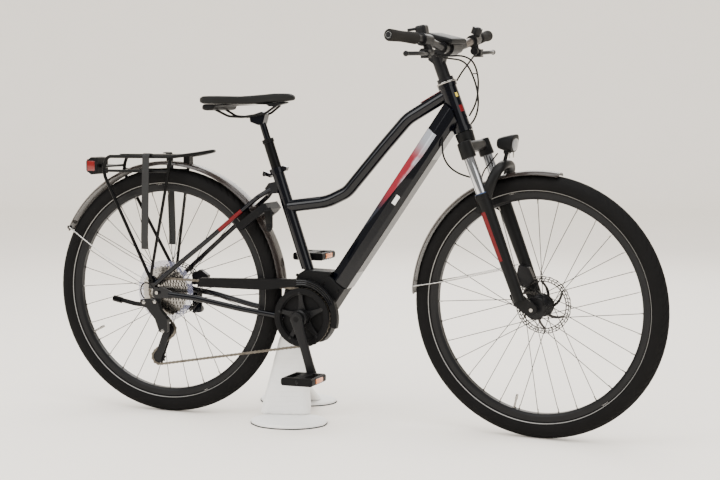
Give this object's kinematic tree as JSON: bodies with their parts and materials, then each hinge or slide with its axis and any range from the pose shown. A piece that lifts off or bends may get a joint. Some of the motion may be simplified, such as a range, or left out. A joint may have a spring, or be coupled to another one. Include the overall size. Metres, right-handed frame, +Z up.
{
  "type": "bicycle on stand",
  "caption": "Step-through city e-bicycle with mid motor, fenders, rear rack, lights and suspension fork, held upright by a wrapped inverted-V display stand with oval foot pads.",
  "frame": {"origin": "on the floor plane under the crank axle, in the bicycle's mid-plane, on the underside of the near stand pad", "axes": "+X forwards to the front wheel, +Y to the bicycle's left, +Z up"},
  "size_m": [1.8417, 0.7072, 1.1289],
  "materials": {
    "frame_paint": "gloss black lacquer with a faint blue cast",
    "fork_paint": "satin black",
    "motor_casing": "fine moulded texture",
    "battery_casing": "satin moulded",
    "guard_plastic": "fine grained",
    "fender_plastic": "smoked translucent polycarbonate",
    "black_steel": "powder coated",
    "black_aluminium": "black anodised",
    "bright_steel": "bright nickel plate",
    "chain_steel": "oiled",
    "ring_black": "matte black",
    "black_plastic": "moulded",
    "display_glass": "dark screen in a black case",
    "red_lens": "clear red",
    "tyre_rubber": "matte with pale reflective wall line",
    "grip_rubber": "soft matte",
    "strap_rubber": "elastic band",
    "saddle_cover": "matte synthetic",
    "hose_jacket": "smooth jacket",
    "stand_wrap": "white wrapped tape"
  },
  "bodies": {
    "frame": {"head_tube": "frame_paint", "top_tube": "frame_paint", "down_tube": "frame_paint", "seat_tube": "frame_paint", "chain_stays": "frame_paint", "seat_stays": "frame_paint", "motor_unit": "motor_casing", "chain_guard": "guard_plastic", "rear_rack": "black_steel", "rack_straps": "strap_rubber", "rear_light": "red_lens", "rear_fender": "fender_plastic", "frame_lock": "black_plastic", "rear_brake": "black_aluminium", "rear_axle": "bright_steel", "chain": "chain_steel", "derailleur_body": "black_steel", "stand_feet": "stand_wrap", "stand_legs": "stand_wrap", "stand_cradle": "stand_wrap", "brake_hose_right": "hose_jacket", "brake_hose_left": "hose_jacket", "shift_cable": "hose_jacket", "fork_hose": "hose_jacket", "derailleur_cable": "hose_jacket"},
    "battery": {"battery_pack": "battery_casing"},
    "post": {"seat_post": "black_aluminium"},
    "saddle": {"post_piston": "black_aluminium", "saddle_rails": "black_steel", "saddle_shell": "black_plastic", "saddle_pad": "saddle_cover"},
    "steering": {"fork_crown": "fork_paint", "stem": "black_aluminium", "handlebar": "black_aluminium", "grips": "grip_rubber", "display": "display_glass", "bar_controls": "black_aluminium"},
    "lever_left": {"brake_lever_left": "black_aluminium"},
    "lever_right": {"brake_lever_right": "black_aluminium"},
    "lower_fork": {"fork_lowers": "fork_paint", "front_fender": "fender_plastic", "front_brake": "black_aluminium", "headlight": "black_plastic", "light_cable": "hose_jacket", "front_axle": "bright_steel"},
    "front_wheel": {"front_tyre": "tyre_rubber", "front_rim": "black_aluminium", "front_spokes": "black_steel", "front_hub": "black_aluminium"},
    "rear_wheel": {"rear_tyre": "tyre_rubber", "rear_rim": "black_aluminium", "rear_spokes": "black_steel", "rear_hub": "black_aluminium"},
    "cogs": {"cassette": "bright_steel"},
    "crank": {"crank_arms": "black_aluminium", "chainring": "ring_black"},
    "right_pedal": {"pedal_right": "black_plastic"},
    "left_pedal": {"pedal_left": "black_plastic"},
    "changer_cage": {"derailleur_cage": "black_steel"},
    "side_stand": {"kickstand": "black_aluminium"}
  },
  "joints": [
    {"name": "battery_release", "type": "slide", "parent": "frame", "child": "battery", "axis": [0.8251, 0, -0.565], "range_m": [0, 0.06]},
    {"name": "seat_height", "type": "slide", "parent": "frame", "child": "post", "axis": [-0.319, 0, 0.9478], "range_m": [-0.06, 0.09]},
    {"name": "saddle_spring", "type": "slide", "parent": "post", "child": "saddle", "axis": [-0.319, 0, 0.9478], "range_m": [-0.035, 0], "stiffness_N_per_m": 20000, "springref_m": 0.001},
    {"name": "steering_turn", "type": "hinge", "parent": "frame", "child": "steering", "pos_m": [0.434, 0, 0.9], "axis": [-0.3502, 0, 0.9367], "range_deg": [-39, 51], "deforming": ["brake_hose_right", "brake_hose_left", "shift_cable", "fork_hose"]},
    {"name": "lever_left_pull", "type": "hinge", "parent": "steering", "child": "lever_left", "pos_m": [0.45195, 0.17964, 1.05271], "axis": [-0.0018, -0.0366, 0.9993], "range_deg": [0, 13], "stiffness_Nm_per_rad": 1.2, "springref_deg": -2.86},
    {"name": "lever_right_pull", "type": "hinge", "parent": "steering", "child": "lever_right", "pos_m": [0.41553, -0.19033, 1.03909], "axis": [0.0018, 0.0366, -0.9993], "range_deg": [0, 13], "stiffness_Nm_per_rad": 1.2, "springref_deg": -2.86},
    {"name": "fork_spring", "type": "slide", "parent": "steering", "child": "lower_fork", "axis": [-0.3502, 0, 0.9367], "range_m": [0, 0.04], "stiffness_N_per_m": 8000, "springref_m": -0.012, "deforming": ["fork_hose"]},
    {"name": "front_wheel_spin", "type": "hinge", "parent": "lower_fork", "child": "front_wheel", "pos_m": [0.67431, -0.00382, 0.36093], "axis": [0.0979, 0.9945, 0.0366], "continuous": true},
    {"name": "rear_wheel_spin", "type": "hinge", "parent": "frame", "child": "rear_wheel", "pos_m": [-0.447, 0, 0.361], "axis": [0, 1, 0], "continuous": true},
    {"name": "cassette_spin", "type": "hinge", "parent": "frame", "child": "cogs", "pos_m": [-0.447, 0, 0.361], "axis": [0, 1, 0], "continuous": true, "deforming": ["chain"]},
    {"name": "crank_spin", "type": "hinge", "parent": "frame", "child": "crank", "pos_m": [0, 0, 0.306], "axis": [0, 1, 0], "continuous": true, "deforming": ["chain"]},
    {"name": "right_pedal_spin", "type": "hinge", "parent": "crank", "child": "right_pedal", "pos_m": [0.04686, -0.156, 0.1478], "axis": [0, 1, 0], "continuous": true},
    {"name": "left_pedal_spin", "type": "hinge", "parent": "crank", "child": "left_pedal", "pos_m": [-0.04686, 0.156, 0.4642], "axis": [0, 1, 0], "continuous": true},
    {"name": "changer_cage_swing", "type": "hinge", "parent": "frame", "child": "changer_cage", "pos_m": [-0.427, -0.048, 0.25], "axis": [0, 1, 0], "range_deg": [-20, 12], "stiffness_Nm_per_rad": 1.5, "deforming": ["chain"]},
    {"name": "side_stand_swing", "type": "hinge", "parent": "frame", "child": "side_stand", "pos_m": [-0.395, 0.092, 0.296], "axis": [0, -1, 0], "range_deg": [0, 72]}
  ],
  "couplings": [
    {"joint": "cassette_spin", "follows": "crank_spin", "ratio": 2}
  ]
}
